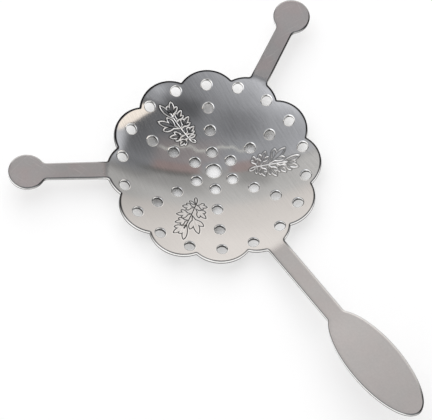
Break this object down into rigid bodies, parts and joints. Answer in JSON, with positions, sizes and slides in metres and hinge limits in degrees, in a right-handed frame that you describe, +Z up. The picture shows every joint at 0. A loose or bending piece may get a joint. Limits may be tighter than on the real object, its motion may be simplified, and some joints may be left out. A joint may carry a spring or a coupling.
{
  "type": "absinthe spoon",
  "caption": "Pressed steel absinthe grille spoon: shallow scalloped bowl with drip holes and engraved leaf sprigs, short knobbed arms and a long handle ending in an oval grip.",
  "frame": {"origin": "lowest point of the bowl's underside, on the axis of the bowl and of its centre hole", "axes": "+X along the handle towards the oval grip, +Z up along the bowl's axis, out of its hollow side; +Y towards the short arm at 120 degrees"},
  "size_m": [0.1503, 0.1216, 0.0173],
  "materials": {
    "steel": "polished, finely brushed"
  },
  "bodies": {
    "root": {"spoon": "steel"}
  },
  "joints": []
}
